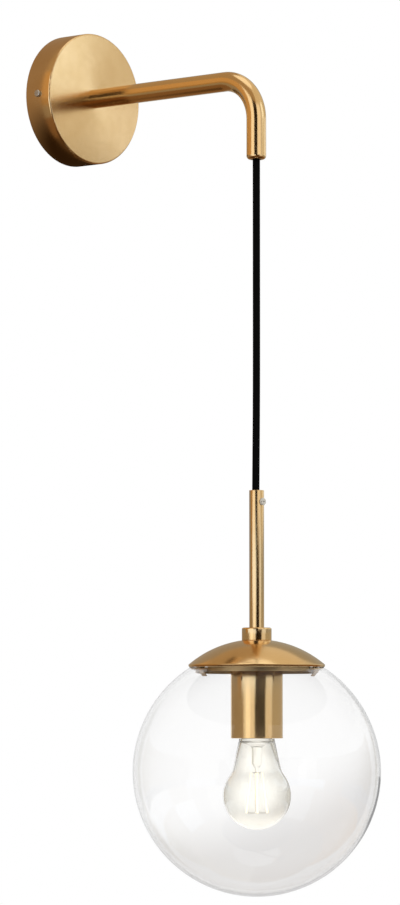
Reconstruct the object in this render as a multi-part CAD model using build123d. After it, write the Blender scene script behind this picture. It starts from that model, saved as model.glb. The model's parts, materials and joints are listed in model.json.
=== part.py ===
"""Wall lamp: a brass canopy and bent arm carry a clear glass globe on a black cord.

The wall is the plane y = 0 and the room lies on its -Y side, +Z is up, and the origin is the centre of
the canopy's back edge. Lengths are millimetres.
"""

import os
from math import sqrt

from build123d import *

# Clearances
fit_gap = 0.05
pass_gap = 0.2
cord_gap = 0.35
swing_gap = 0.4
turn_gap = 0.4
glass_gap = 0.15

# Wall canopy
canopy_diameter = 110.0
canopy_depth = 27.0
canopy_wall = 1.2
canopy_edge = 1.6

# Wall bracket
bracket_sheet = 1.5
bracket_bend = 1.5
strap_height = 24.0
ear_length = 20.0
ear_gap = 0.4
tab_width = 54.0
tab_top = 42.0
tab_round = 4.0
slot_spacing = 72.0
slot_length = 12.0
slot_width = 5.0
cable_hole_diameter = 16.0

# Screws shared by the canopy and the earth point
screw_diameter = 4.0
screw_head_diameter = 6.0
screw_head_height = 2.0
screw_head_round = 0.9
screw_tail = 2.0
drive_width = 0.8
drive_depth = 0.8
side_screw_out = 14.0

# Arm
arm_diameter = 16.0
arm_wall = 1.5
arm_reach = 208.0
arm_bend = 34.0
leg_drop = 67.0
tip_wall = 3.5
tip_round = 3.0

# Cord, from the arm's tip to the stem's mouth
cord_diameter = 6.0
cord_length = 269.0

# Threaded nipples, with the nuts and washers on them
nipple_diameter = 10.0
nipple_wall_gap = 0.7
nipple_thread = 11.0
end_bush_length = 12.0
washer_diameter = 20.0
washer_thickness = 0.8
nut_flats = 17.0
nut_thickness = 4.0

# Cord grip on the arm's nipple
grip_diameter = 15.0
grip_thread = 5.0
grip_hold = 6.0
grip_step = 0.3
cord_tail = 3.0
nylon_screw_diameter = 4.0
nylon_head_diameter = 5.8
nylon_head_height = 2.0
nylon_head_round = 0.8

# Bush in the arm's tip
tip_bush_diameter = 8.8
tip_bush_flange = 1.5
tip_bush_mouth = 0.8

# Terminal block
pole_pitch = 11.0
pole_width = 6.6
pole_round = 0.6
block_height = 18.0
block_depth = 13.0
block_web = 5.0
block_up = 27.0
barrel_diameter = 4.8
barrel_bore = 3.0
barrel_out = 5.5
barrel_recess = 0.5
clamp_diameter = 2.5
clamp_length = 4.6
clamp_spread = 8.0
clamp_lift = 1.0
well_gap = 0.45
small_drive_width = 0.6
small_drive_depth = 0.7
fixing_diameter = 2.8
fixing_head_diameter = 4.2
fixing_head_height = 1.6
fixing_head_round = 0.4

# Insulated cores, inside the canopy and the lamp holder
core_diameter = 1.8
core_bend = 1.8
core_spread = 1.5
core_drop = 0.7
core_lift = 1.3
core_tail = 4.5
core_back = 3.0
core_rise = 6.0
core_turn = 2.0

# Earth point
earth_across = 21.0
earth_up = 21.0
lug_diameter = 8.0
lug_sheet = 0.8
crimp_diameter = 3.6
crimp_length = 6.0
crimp_start = 4.6
bond_loop = 4.5
bond_bend = 3.0

# Stem and collar
stem_diameter = 12.0
stem_bore = 9.0
stem_shown = 111.0
stem_seat = 4.0
stem_edge = 0.4
stem_grip_drop = 9.3
collar_diameter = 24.0
collar_height = 10.3
collar_round = 1.3
collar_edge = 0.4

# Dome cap
cap_overhang = 3.75
cap_height = 21.5
cap_lip = 1.8
cap_tuck = 0.6
cap_sheet = 0.9
spacer_diameter = 16.0

# Gallery that holds the globe
gallery_rise = 3.0
gallery_sheet = 1.0
gallery_gap = 2.0
gallery_lip = 4.5
gallery_corner = 2.0
gallery_notch = 1.0
gallery_notch_rise = 1.2
vent_diameter = 9.0
spring_count = 3
spring_turn = 45.0
spring_sheet = 0.6
spring_width = 6.0
spring_bend = 1.1
spring_root_gap = 4.0
spring_drop = 5.5
spring_heel = 4.0
spring_catch = 2.5
spring_tail = 4.5
spring_tail_in = 4.5
rivet_diameter = 3.0
rivet_head_diameter = 5.2
rivet_head_height = 0.9
rivet_inset = 5.0

# Globe and its gasket
globe_diameter = 200.0
globe_wall = 2.2
globe_mouth = 103.0
globe_mouth_round = 0.9
globe_rim_gap = 0.45
gasket_inset = 1.0
gasket_width = 3.5

# Socket cup and what clamps it
cup_diameter = 42.0
cup_shown = 57.4
cup_sheet = 0.9
cup_edge = 0.35
cup_corner = 1.5
cup_washer_diameter = 18.0

# Lamp holder
holder_gap = 0.7
holder_recess = 2.0
holder_drop = 1.5
holder_boss_diameter = 19.0
holder_boss_height = 4.0
holder_shoulder = 5.0
holder_thread = 8.0
holder_wall = 2.0
barrel_height = 30.0
insert_height = 9.0
shell_length = 25.0
shell_wall = 0.5
shell_flange = 4.5
contact_sheet = 0.5
contact_width = 6.0
contact_room = 2.0
contact_root = 7.5
contact_fold = 4.0
contact_land = 1.5
contact_bend = 0.6
holder_screw_across = 11.5
holder_screw_length = 5.0

# Bulb, with its screw cap
bulb_diameter = 55.0
bulb_length = 100.0
bulb_wall = 0.8
bulb_cap_diameter = 26.2
bulb_cap_length = 26.5
bulb_cap_sheet = 0.4
bulb_cap_crown = 3.2
bulb_cap_shoulder = 1.6
bulb_cap_bevel = 1.2
bulb_insulator_diameter = 17.6
bulb_contact_diameter = 9.6
bulb_contact_height = 1.2
bulb_spigot = 6.0
bulb_neck_start = 14.2
bulb_neck_inset = 3.4
bulb_neck_blend = 16.0
bulb_neck_gap = 0.3

# Bulb's glass mount, filaments and wires
mount_top = 2.5
mount_flare = 1.0
mount_cone = 4.0
mount_tube_diameter = 8.4
mount_tube_length = 13.0
mount_press = 3.0
mount_rod_diameter = 3.0
mount_rod_length = 36.0
filament_count = 4
filament_diameter = 1.6
filament_top = 28.0
filament_bottom = 60.0
filament_top_circle = 9.0
filament_bottom_circle = 17.0
filament_turn = 45.0
wire_diameter = 0.7
wire_gap = 0.5

# Wall side, as distances out from the wall
canopy_radius = canopy_diameter / 2
canopy_bore = canopy_radius - canopy_wall
canopy_back = canopy_depth - canopy_wall
washer_out = canopy_back - washer_thickness
nut_out = washer_out - nut_thickness
grip_top = nut_out - grip_step
grip_out = grip_top - grip_thread - grip_hold
cord_end_out = grip_out - cord_tail
ear_face = sqrt(canopy_bore**2 - (strap_height / 2) ** 2) - ear_gap
pole_out = bracket_sheet + barrel_out
block_bottom = block_up - block_height / 2
block_top = block_up + block_height / 2

# Radii that several pieces share
cord_radius = cord_diameter / 2
nipple_radius = nipple_diameter / 2
nipple_bore_radius = cord_radius + nipple_wall_gap
nipple_hole_radius = nipple_radius + pass_gap
nipple_seat_radius = nipple_radius + fit_gap
screw_hole_radius = screw_diameter / 2 + fit_gap
core_radius = core_diameter / 2
arm_bore_radius = arm_diameter / 2 - arm_wall
mouth_radius = globe_mouth / 2
globe_radius = globe_diameter / 2
cup_radius = cup_diameter / 2
holder_radius = cup_radius - cup_sheet - holder_gap
bulb_cap_radius = bulb_cap_diameter / 2
shell_bore_radius = bulb_cap_radius + turn_gap
shell_radius = shell_bore_radius + shell_wall

# Pendant, as heights on its own axis
tip_height = -leg_drop
stem_top = tip_height - cord_length
collar_top = stem_top - stem_shown
cap_top = collar_top - collar_height
cap_rim = cap_top - cap_height
stem_bottom = collar_top - stem_seat
gallery_bottom = cap_rim + gallery_rise
gallery_top = gallery_bottom + gallery_sheet
cup_top = gallery_bottom
cup_bottom = cap_rim - cup_shown
cup_washer_bottom = cup_top - cup_sheet - washer_thickness
cup_nut_bottom = cup_washer_bottom - nut_thickness
holder_top = cup_nut_bottom - holder_drop
holder_bottom = cup_bottom + holder_recess
holder_seam = holder_bottom + barrel_height
nipple_bottom = holder_top - holder_thread
shell_bottom = holder_bottom + holder_drop
insert_bottom = shell_bottom + shell_length
insert_top = insert_bottom + insert_height
stem_cord_bottom = nipple_bottom - cord_tail

# Dome cap, whose sphere meets the collar's edge and the top of the lip
cap_radius = mouth_radius + cap_overhang
crown_height = cap_height - cap_lip
crown_seat = collar_diameter / 2
crown_centre = cap_rim + cap_lip + (crown_seat**2 + crown_height**2 - cap_radius**2) / (2 * crown_height)
crown_radius = sqrt(crown_seat**2 + (cap_top - crown_centre) ** 2)


def sphere_height(radius, centre, across):
    """Height of a sphere's upper half at a distance from its axis."""
    return centre + sqrt(radius**2 - across**2)


# Globe, which stands clear of the cap's rim and takes the gasket between its mouth and the dome
cap_bore_radius = cap_radius - cap_sheet
globe_centre = cap_rim - globe_rim_gap - sqrt(globe_radius**2 - cap_bore_radius**2)

# Bulb, whose contact lies under the holder's spring
bulb_top = insert_bottom - contact_room
bulb_skirt = bulb_top - bulb_cap_length
bulb_radius = bulb_diameter / 2
bulb_centre = bulb_top - bulb_length + bulb_radius
neck_top = bulb_skirt - bulb_neck_gap
neck_end = bulb_radius - bulb_neck_inset


def turned(*corners):
    """Solid turned about Z from corners given as radius, height and, where rounded, the rounding."""
    points = [(corner[0], 0, corner[1]) for corner in corners]
    rounds = [corner[2] if len(corner) > 2 else 0 for corner in corners]
    outline = FilletPolyline(*points, radius=rounds, close=True)
    return revolve(make_face(outline), Axis.Z)


def ring(radius, bore, bottom, top):
    """Plain ring or tube on the Z axis."""
    return Pos(0, 0, bottom) * extrude(Circle(radius) - Circle(bore), amount=top - bottom)


def disc(radius, bottom, top):
    """Plain disc or rod on the Z axis."""
    return Pos(0, 0, bottom) * extrude(Circle(radius), amount=top - bottom)


def swept(points, bend, radius):
    """Round bar along straight runs joined by bends."""
    path = FilletPolyline(*points, radius=bend)
    return sweep(Plane(path @ 0, z_dir=path % 0) * Circle(radius), path)


def strip(points, bend, sheet, width):
    """Bent strip of sheet metal, its width along Y."""
    path = FilletPolyline(*points, radius=bend)
    section = Plane(path @ 0, x_dir=(0, 1, 0), z_dir=path % 0) * Rectangle(width, sheet)
    return sweep(section, path)


def rod_between(start, end, radius):
    """Straight round rod from one point to another."""
    reach = Vector(end) - Vector(start)
    return Plane(start, z_dir=reach) * extrude(Circle(radius), amount=reach.length)


def slotted_screw(diameter, length, head_diameter, head_height, head_round, slot_wide, slot_deep):
    """Slotted screw on the Z axis: the head's underside at z = 0 and the shank below it."""
    head_radius = head_diameter / 2
    head = turned((0, 0), (head_radius, 0), (head_radius, head_height, head_round), (0, head_height))
    slot = Pos(0, 0, head_height) * Box(head_diameter, slot_wide, 2 * slot_deep)
    return head + disc(diameter / 2, -length, 0) - slot


def metal_screw(length):
    """Pan-head metal screw."""
    return slotted_screw(
        screw_diameter, length, screw_head_diameter, screw_head_height, screw_head_round,
        drive_width, drive_depth,
    )


def nylon_screw(length):
    """Nylon screw that presses on the cord."""
    return slotted_screw(
        nylon_screw_diameter, length, nylon_head_diameter, nylon_head_height, nylon_head_round,
        drive_width, drive_depth,
    )


def hex_nut(bottom):
    """Thin hexagon nut for a nipple."""
    flats = RegularPolygon(nut_flats / 2, 6, major_radius=False)
    return Pos(0, 0, bottom) * extrude(flats - Circle(nipple_seat_radius), amount=nut_thickness)


def on_wall(shape):
    """Turns a piece drawn in front view, its height being the distance out from the wall."""
    return Rot(90, 0, 0) * shape


def on_drop(shape):
    """Moves a piece drawn on the Z axis onto the pendant's axis."""
    return Pos(0, -arm_reach, 0) * shape


def around(shape, count, start=0):
    """Copies of a piece evenly round the Z axis."""
    return [Rot(0, 0, start + 360 * step / count) * shape for step in range(count)]


def group(shapes):
    """Separate solids in one piece."""
    return Compound(children=[solid for shape in shapes for solid in shape.solids()])


# Wall bracket, canopy and the screws in its rim


def wall_bracket():
    inner_face = ear_face - bracket_sheet
    outer_bend = bracket_bend + bracket_sheet
    corners = [
        (-ear_face, 0, ear_length),
        (-ear_face, 0, 0),
        (ear_face, 0, 0),
        (ear_face, 0, ear_length),
        (inner_face, 0, ear_length),
        (inner_face, 0, bracket_sheet),
        (-inner_face, 0, bracket_sheet),
        (-inner_face, 0, ear_length),
    ]
    bends = [0, outer_bend, outer_bend, 0, 0, bracket_bend, bracket_bend, 0]
    outline = FilletPolyline(*corners, radius=bends, close=True)
    bracket = extrude(make_face(outline), amount=strap_height / 2, both=True)
    tab_height = tab_top + strap_height / 2
    tab = extrude(RectangleRounded(tab_width, tab_height, tab_round), amount=bracket_sheet)
    bracket += Pos(0, tab_top - tab_height / 2, 0) * tab
    slot = extrude(SlotOverall(slot_length, slot_width), amount=bracket_sheet)
    bracket -= Pos(slot_spacing / 2, 0, 0) * slot
    bracket -= Pos(-slot_spacing / 2, 0, 0) * slot
    bracket -= disc(cable_hole_diameter / 2, 0, bracket_sheet)
    bracket -= Pos(earth_across, earth_up, 0) * disc(screw_hole_radius, 0, bracket_sheet)
    fixing_hole = disc(fixing_diameter / 2 + fit_gap, 0, bracket_sheet)
    bracket -= Pos(pole_pitch / 2, block_up, 0) * fixing_hole
    bracket -= Pos(-pole_pitch / 2, block_up, 0) * fixing_hole
    bracket -= Pos(-ear_face, 0, side_screw_out) * Rot(0, 90, 0) * disc(screw_hole_radius, 0, 2 * ear_face)
    return bracket


def wall_canopy():
    shell = turned(
        (nipple_hole_radius, canopy_depth),
        (canopy_radius, canopy_depth, canopy_edge),
        (canopy_radius, 0),
        (canopy_bore, 0),
        (canopy_bore, canopy_back, canopy_edge),
        (nipple_hole_radius, canopy_back),
    )
    hole_radius = screw_diameter / 2 + pass_gap
    cross_hole = disc(hole_radius, -canopy_radius, canopy_radius)
    return shell - Pos(0, 0, side_screw_out) * Rot(0, 90, 0) * cross_hole


def canopy_side_screws():
    length = canopy_radius - ear_face + bracket_sheet + screw_tail
    screw = Pos(canopy_radius + fit_gap, 0, side_screw_out) * Rot(0, 90, 0) * metal_screw(length)
    return group(around(screw, 2))


# Arm, and what fixes it to the canopy


def arm_tube():
    start = (0, -canopy_depth, 0)
    corner = (0, -arm_reach, 0)
    tube = swept([start, corner, (0, -arm_reach, tip_height)], arm_bend, arm_diameter / 2)
    tube = fillet(tube.edges().sort_by(Axis.Z)[0], tip_round)
    tube -= swept([start, corner, (0, -arm_reach, tip_height + tip_wall)], arm_bend, arm_bore_radius)
    return tube - on_drop(disc(tip_bush_diameter / 2 + fit_gap, tip_height, tip_height + tip_wall))


def arm_end_bush():
    return ring(
        arm_bore_radius - fit_gap, nipple_seat_radius, canopy_depth, canopy_depth + end_bush_length
    )


def arm_nipple():
    return ring(nipple_radius, nipple_bore_radius, grip_top - grip_thread, canopy_depth + nipple_thread)


def arm_lock_washer():
    return ring(washer_diameter / 2, nipple_hole_radius, washer_out, canopy_back)


def arm_lock_nut():
    return hex_nut(nut_out)


def canopy_cord_grip():
    grip = turned(
        (nipple_seat_radius, grip_top),
        (grip_diameter / 2, grip_top),
        (grip_diameter / 2, grip_out, nylon_head_round),
        (cord_radius + cord_gap, grip_out),
        (cord_radius + cord_gap, grip_top - grip_thread),
        (nipple_seat_radius, grip_top - grip_thread),
    )
    hole = disc(nylon_screw_diameter / 2 + fit_gap, 0, grip_diameter)
    return grip - Pos(0, 0, grip_out + grip_hold / 2) * Rot(90, 0, 0) * hole


def canopy_grip_screw():
    length = grip_diameter / 2 - cord_radius - fit_gap
    place = Pos(0, -grip_diameter / 2, grip_out + grip_hold / 2)
    return place * Rot(90, 0, 0) * nylon_screw(length)


def arm_cord():
    start = (0, -cord_end_out, 0)
    end = (0, -arm_reach, tip_height + cord_radius + swing_gap)
    return swept([start, (0, -arm_reach, 0), end], arm_bend, cord_radius)


def arm_tip_bush():
    bore = cord_radius + cord_gap
    seat = tip_height + tip_wall
    return turned(
        (bore, tip_height, tip_bush_mouth),
        (tip_bush_diameter / 2, tip_height),
        (tip_bush_diameter / 2, seat),
        (arm_bore_radius - cord_gap, seat),
        (arm_bore_radius - cord_gap, seat + tip_bush_flange),
        (bore, seat + tip_bush_flange),
    )


# Terminal block, with the leads that end on it


def pole_places():
    """Where the poles stand across the block."""
    return [-pole_pitch, 0, pole_pitch]


def terminal_block():
    block_width = 2 * pole_pitch + pole_width
    web = Box(block_width, block_height, block_web, align=(Align.CENTER, Align.CENTER, Align.MIN))
    pole = extrude(RectangleRounded(pole_width, block_height, pole_round), amount=block_depth)
    block = web + [Pos(across, 0, 0) * pole for across in pole_places()]
    well = disc(clamp_diameter / 2 + well_gap, barrel_out, block_depth)
    bore = disc(barrel_diameter / 2 + fit_gap, -block_height / 2, block_height / 2)
    for across in pole_places():
        block -= Pos(across, 0, barrel_out) * Rot(90, 0, 0) * bore
        block -= Pos(across, clamp_spread / 2, 0) * well
        block -= Pos(across, -clamp_spread / 2, 0) * well
    hole = disc(fixing_diameter / 2 + pass_gap, 0, block_web)
    block -= Pos(pole_pitch / 2, 0, 0) * hole
    block -= Pos(-pole_pitch / 2, 0, 0) * hole
    return Pos(0, block_up, bracket_sheet) * block


def terminal_barrels():
    half = block_height / 2 - barrel_recess
    barrel = Rot(90, 0, 0) * ring(barrel_diameter / 2, barrel_bore / 2, -half, half)
    hole = disc(clamp_diameter / 2 + fit_gap, 0, barrel_diameter)
    barrel -= Pos(0, clamp_spread / 2, 0) * hole
    barrel -= Pos(0, -clamp_spread / 2, 0) * hole
    return group([Pos(across, block_up, pole_out) * barrel for across in pole_places()])


def terminal_screws():
    screw = disc(clamp_diameter / 2, clamp_lift, clamp_lift + clamp_length)
    slot = Box(clamp_diameter, small_drive_width, 2 * small_drive_depth)
    screw -= Pos(0, 0, clamp_lift + clamp_length) * slot
    places = [(across, side * clamp_spread / 2) for across in pole_places() for side in (-1, 1)]
    return group([Pos(across, block_up + up, pole_out) * screw for across, up in places])


def terminal_fixing_screws():
    out = bracket_sheet + block_web
    screw = slotted_screw(
        fixing_diameter, out, fixing_head_diameter, fixing_head_height, fixing_head_round,
        small_drive_width, small_drive_depth,
    )
    return group([Pos(side * pole_pitch / 2, block_up, out) * screw for side in (-1, 1)])


def cord_core(start_across, start_up, pole_across):
    """Core from the cord's end to the lower end of a pole."""
    back = cord_end_out - core_back
    points = [
        (start_across, start_up, cord_end_out),
        (start_across, start_up, back),
        (pole_across, block_bottom - core_rise, back),
        (pole_across, block_bottom - core_turn, pole_out),
        (pole_across, block_bottom + core_tail, pole_out),
    ]
    return swept(points, core_bend, core_radius)


def live_lead():
    return cord_core(-core_spread, -core_drop, -pole_pitch)


def neutral_lead():
    return cord_core(0, core_lift, 0)


def earth_lead():
    return cord_core(core_spread, -core_drop, pole_pitch)


def earth_lug():
    crimp = ring(crimp_diameter / 2, core_radius + fit_gap, 0, crimp_length)
    tongue = Box(crimp_diameter, crimp_start, lug_sheet)
    lug = disc(lug_diameter / 2, 0, lug_sheet)
    lug += Pos(0, lug_diameter / 4 + crimp_start / 2, lug_sheet / 2) * tongue
    lug -= disc(screw_hole_radius, 0, lug_sheet)
    lug += Pos(0, lug_diameter / 2 + crimp_length, crimp_diameter / 2) * Rot(90, 0, 0) * crimp
    return Pos(earth_across, earth_up, bracket_sheet) * lug


def earth_screw():
    screw = metal_screw(lug_sheet + bracket_sheet)
    return Pos(earth_across, earth_up, bracket_sheet + lug_sheet) * screw


def earth_bond_lead():
    crimp_top = earth_up + lug_diameter / 2 + crimp_length
    crimp_out = bracket_sheet + crimp_diameter / 2
    points = [
        (pole_pitch, block_top - core_tail, pole_out),
        (pole_pitch, block_top + bond_loop, pole_out),
        (earth_across, block_top + bond_loop, crimp_out),
        (earth_across, crimp_top - core_tail, crimp_out),
    ]
    return swept(points, bond_bend, core_radius)


# Cord and stem


def pendant_cord():
    rod = disc(cord_radius, stem_top, tip_height)
    return rod + Pos(0, 0, tip_height) * Sphere(cord_radius) + Pos(0, 0, stem_top) * Sphere(cord_radius)


def stem_tube():
    stem = turned(
        (stem_bore / 2, stem_top),
        (stem_diameter / 2, stem_top, stem_edge),
        (stem_diameter / 2, stem_bottom),
        (nipple_seat_radius, stem_bottom),
        (nipple_seat_radius, stem_bottom + nipple_thread + pass_gap),
        (stem_bore / 2, stem_bottom + nipple_thread + pass_gap),
    )
    hole = disc(nylon_screw_diameter / 2 + fit_gap, 0, stem_diameter)
    return stem - Pos(0, 0, stem_top - stem_grip_drop) * Rot(90, 0, 0) * hole


def cord_grip_screw():
    length = stem_diameter / 2 - cord_radius - fit_gap
    place = Pos(0, -stem_diameter / 2, stem_top - stem_grip_drop)
    return place * Rot(90, 0, 0) * nylon_screw(length)


def stem_cord():
    return disc(cord_radius, stem_cord_bottom, stem_top - cord_radius - swing_gap)


def stem_nipple():
    return ring(nipple_radius, nipple_bore_radius, nipple_bottom, stem_bottom + nipple_thread)


def stem_collar():
    seat_radius = stem_diameter / 2 + fit_gap
    return turned(
        (seat_radius, collar_top),
        (collar_diameter / 2, collar_top, collar_round),
        (collar_diameter / 2, cap_top, collar_edge),
        (nipple_seat_radius, cap_top),
        (nipple_seat_radius, stem_bottom),
        (seat_radius, stem_bottom),
    )


# Dome cap and the gallery that holds the globe


def crown_arc(radius, inner, outer):
    """Arc of the dome between two distances from the axis."""
    places = [inner, (inner + outer) / 2, outer]
    return ThreePointArc(*[(across, 0, sphere_height(radius, crown_centre, across)) for across in places])


def cap_dome():
    inner_radius = crown_radius - cap_sheet
    inner_seat = sqrt(inner_radius**2 - (cap_top - cap_sheet - crown_centre) ** 2)
    outer_arc = crown_arc(crown_radius, crown_seat, cap_radius)
    inner_arc = crown_arc(inner_radius, inner_seat, cap_bore_radius)
    tucked = (cap_radius - cap_tuck, 0, cap_rim)
    lip = Polyline(outer_arc @ 1, tucked, (cap_bore_radius, 0, cap_rim), inner_arc @ 1)
    hole_low = (nipple_hole_radius, 0, cap_top - cap_sheet)
    hole_high = (nipple_hole_radius, 0, cap_top)
    top = Polyline(inner_arc @ 0, hole_low, hole_high, outer_arc @ 0)
    return revolve(make_face([outer_arc, lip, inner_arc, top]), Axis.Z)


def cap_spacer():
    return ring(spacer_diameter / 2, nipple_hole_radius, gallery_top, cap_top - cap_sheet)


def rivet_across():
    """Distance of a spring's rivet from the axis."""
    return cup_radius + spring_root_gap + rivet_inset


def gallery_pan():
    radius = mouth_radius - gallery_gap
    inner = radius - gallery_sheet
    lip = cap_rim - gallery_lip
    pan = turned(
        (nipple_hole_radius, gallery_top),
        (radius, gallery_top, gallery_corner),
        (radius, lip),
        (inner, lip),
        (inner, gallery_bottom, gallery_corner - gallery_sheet),
        (nipple_hole_radius, gallery_bottom),
    )
    rivet_hole = Pos(rivet_across(), 0, 0) * disc(rivet_diameter / 2 + fit_gap, gallery_bottom, gallery_top)
    vent = Pos(rivet_across(), 0, 0) * disc(vent_diameter / 2, gallery_bottom, gallery_top)
    notch_height = gallery_lip + gallery_notch_rise
    notch = Pos(radius, 0, lip + notch_height / 2) * Box(
        4 * gallery_sheet, spring_width + 2 * gallery_notch, notch_height
    )
    holes = around(rivet_hole, spring_count, spring_turn)
    holes += around(notch, spring_count, spring_turn)
    holes += around(vent, spring_count, spring_turn + 180 / spring_count)
    for hole in holes:
        pan -= hole
    return pan


def globe_springs():
    reach = globe_radius - globe_wall - glass_gap - spring_sheet / 2
    flat = gallery_bottom - spring_sheet / 2
    heel = mouth_radius - spring_heel
    catch = mouth_radius + spring_catch
    catch_height = sphere_height(reach, globe_centre, catch)
    points = [
        (cup_radius + spring_root_gap, 0, flat),
        (mouth_radius - spring_drop, 0, flat),
        (heel, 0, sphere_height(reach, globe_centre, heel)),
        (catch, 0, catch_height),
        (catch - spring_tail_in, 0, catch_height - spring_tail),
    ]
    spring = strip(points, spring_bend, spring_sheet, spring_width)
    hole = disc(rivet_diameter / 2 + fit_gap, flat - spring_sheet, flat + spring_sheet)
    return group(around(spring - Pos(rivet_across(), 0, 0) * hole, spring_count, spring_turn))


def spring_rivets():
    head_radius = rivet_head_diameter / 2
    under = gallery_bottom - spring_sheet
    rivet = disc(rivet_diameter / 2, under, gallery_top)
    rivet += disc(head_radius, gallery_top, gallery_top + rivet_head_height)
    rivet += disc(head_radius, under - rivet_head_height, under)
    return group(around(Pos(rivet_across(), 0, 0) * rivet, spring_count, spring_turn))


def globe_gasket():
    inner = mouth_radius - gasket_inset
    outer = inner + gasket_width
    lower = globe_radius + glass_gap
    upper_arc = crown_arc(crown_radius - cap_sheet - fit_gap, inner, outer)
    places = [inner, (inner + outer) / 2, outer]
    lower_arc = ThreePointArc(
        *[(across, 0, sphere_height(lower, globe_centre, across)) for across in places]
    )
    outer_side = Line(upper_arc @ 1, lower_arc @ 1)
    inner_side = Line(lower_arc @ 0, upper_arc @ 0)
    return revolve(make_face([upper_arc, outer_side, lower_arc, inner_side]), Axis.Z)


def globe_glass():
    inner_radius = globe_radius - globe_wall
    shell = Sphere(globe_radius) - Sphere(inner_radius)
    shell -= disc(mouth_radius, 0, globe_diameter)
    rims = shell.edges().filter_by(GeomType.CIRCLE).sort_by(Axis.Z)[-2:]
    return Pos(0, 0, globe_centre) * fillet(rims, globe_mouth_round)


# Socket cup and lamp holder


def socket_cup():
    inner = cup_radius - cup_sheet
    return turned(
        (nipple_hole_radius, cup_top),
        (cup_radius, cup_top, cup_corner),
        (cup_radius, cup_bottom, cup_edge),
        (inner, cup_bottom, cup_edge),
        (inner, cup_top - cup_sheet, cup_corner - cup_sheet),
        (nipple_hole_radius, cup_top - cup_sheet),
    )


def cup_washer():
    return ring(cup_washer_diameter / 2, nipple_hole_radius, cup_washer_bottom, cup_top - cup_sheet)


def cup_lock_nut():
    return hex_nut(cup_nut_bottom)


def holder_cap():
    boss_radius = holder_boss_diameter / 2
    boss_bottom = holder_top - holder_boss_height
    shoulder = boss_bottom - holder_shoulder
    room_radius = holder_radius - holder_wall
    return turned(
        (nipple_seat_radius, holder_top),
        (boss_radius, holder_top),
        (boss_radius, boss_bottom),
        (holder_radius, shoulder),
        (holder_radius, holder_seam),
        (room_radius, holder_seam),
        (room_radius, shoulder - holder_wall),
        (boss_radius - holder_wall, nipple_bottom),
        (nipple_seat_radius, nipple_bottom),
    )


def holder_barrel():
    seat_radius = holder_radius - holder_wall
    return turned(
        (shell_radius + cord_gap, holder_bottom, cup_edge),
        (holder_radius, holder_bottom, cup_edge),
        (holder_radius, holder_seam),
        (seat_radius, holder_seam),
        (seat_radius, insert_bottom),
        (shell_radius + cord_gap, insert_bottom),
    )


def holder_insert():
    insert = disc(holder_radius - holder_wall - fit_gap, insert_bottom, insert_top)
    hole = disc(screw_hole_radius, insert_top - holder_screw_length, insert_top)
    for place in around(Pos(holder_screw_across, 0, 0) * hole, 2):
        insert -= place
    return insert


def screw_shell():
    flange_radius = shell_bore_radius - shell_flange
    return turned(
        (shell_radius, shell_bottom),
        (shell_radius, insert_bottom),
        (flange_radius, insert_bottom),
        (flange_radius, insert_bottom - shell_wall),
        (shell_bore_radius, insert_bottom - shell_wall),
        (shell_bore_radius, shell_bottom),
    )


def centre_contact():
    root = insert_bottom - contact_sheet / 2
    land = bulb_top + contact_sheet / 2 + fit_gap
    points = [
        (-contact_root, 0, root),
        (-contact_fold, 0, root),
        (-contact_land, 0, land),
        (contact_fold, 0, land),
    ]
    return strip(points, contact_bend, contact_sheet, contact_width)


def holder_screws():
    screw = Pos(holder_screw_across, 0, insert_top) * metal_screw(holder_screw_length)
    return group(around(screw, 2))


def holder_leads():
    rest = insert_top + core_radius + fit_gap
    end = holder_screw_across - screw_head_diameter / 2 - fit_gap
    points = [(core_spread, 0, stem_cord_bottom), (core_spread, 0, rest), (end, 0, rest)]
    return group(around(swept(points, core_bend, core_radius), 2))


# Bulb


def bulb_contact():
    return turned(
        (0, bulb_top),
        (bulb_contact_diameter / 2, bulb_top, bulb_contact_height / 2),
        (bulb_contact_diameter / 2, bulb_top - bulb_contact_height),
        (0, bulb_top - bulb_contact_height),
    )


def bulb_insulator():
    edge = bulb_insulator_diameter / 2
    crown = bulb_top - bulb_cap_crown
    return turned(
        (0, bulb_top - bulb_contact_height),
        (bulb_contact_diameter / 2, bulb_top - bulb_contact_height),
        (edge, crown),
        (edge, crown - bulb_cap_sheet),
        (0, crown - bulb_cap_sheet),
    )


def bulb_cap():
    crown = bulb_top - bulb_cap_crown
    shoulder = crown - bulb_cap_shoulder
    inner = bulb_cap_radius - bulb_cap_sheet
    hole = bulb_insulator_diameter / 2 + fit_gap
    bevel = bulb_cap_radius - bulb_cap_bevel
    return turned(
        (hole, crown),
        (bevel, crown - bulb_cap_sheet),
        (bulb_cap_radius, shoulder),
        (bulb_cap_radius, bulb_skirt),
        (inner, bulb_skirt),
        (inner, shoulder - bulb_cap_sheet),
        (bevel - bulb_cap_sheet, crown - 2 * bulb_cap_sheet),
        (hole, crown - bulb_cap_sheet),
    )


def neck_radius(height):
    """Outside of the bulb's neck at a height."""
    slope = (neck_end - bulb_neck_start) / (neck_top - bulb_centre)
    return bulb_neck_start + slope * (neck_top - height)


def bulb_envelope(wall):
    """Solid within the bulb's glass, its outline drawn in by the wall."""
    corners = [
        (-bulb_neck_start, neck_top),
        (bulb_neck_start, neck_top),
        (neck_end, bulb_centre),
        (-neck_end, bulb_centre),
    ]
    neck = make_face(Polyline(*corners, close=True))
    outline = Pos(0, bulb_centre) * Circle(bulb_radius) + neck
    outline = fillet(outline.vertices().sort_by(Axis.Y)[-4:-2], bulb_neck_blend)
    if wall:
        outline = offset(outline, -wall)
    half = Pos(bulb_radius, bulb_centre) * Rectangle(bulb_diameter, 2 * bulb_length)
    return revolve(Plane.XZ * (outline & half), Axis.Z)


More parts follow.
